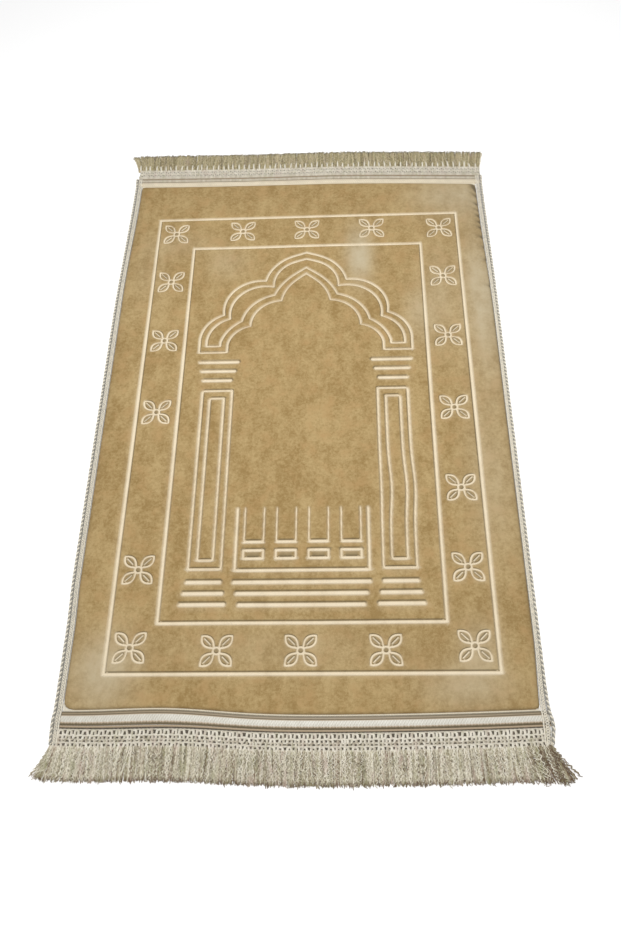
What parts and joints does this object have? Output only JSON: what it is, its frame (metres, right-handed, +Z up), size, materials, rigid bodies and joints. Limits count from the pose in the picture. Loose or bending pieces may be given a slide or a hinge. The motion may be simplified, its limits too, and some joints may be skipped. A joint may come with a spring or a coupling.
{
  "type": "prayer rug",
  "caption": "Flat velvet prayer rug with an embossed arch and flower border, braided sides, satin tapes and yarn fringes at both ends.",
  "frame": {"origin": "middle of the rug's flat underside, at the centre of its box", "axes": "+Y along the rug from its foot end to the end that the arch points to, +X to the right seen from the foot end, +Z up out of the pile"},
  "size_m": [0.7416, 1.264, 0.0064],
  "materials": {
    "velvet": "thick soft plush pile, golden tan, matt with a soft sheen; embossed lines cream",
    "edge_braid": "plaited cream yarn with a grey-beige outer edge",
    "piping": "thin twisted cream cord",
    "satin_tape": "smooth cream satin tape with tan lips",
    "tan_cord": "thin twisted tan cord",
    "fringe_yarn": "grey-beige and khaki yarn, crocheted at the heading and loose in the fringe"
  },
  "bodies": {
    "root": {"velvet_panel": "velvet", "braid_left": "edge_braid", "braid_right": "edge_braid", "piping_near": "piping", "piping_far": "piping", "tape_near": "satin_tape", "tape_far": "satin_tape", "tan_cord_near": "tan_cord", "tan_cord_far": "tan_cord", "fringe_near": "fringe_yarn", "fringe_far": "fringe_yarn"}
  },
  "joints": []
}
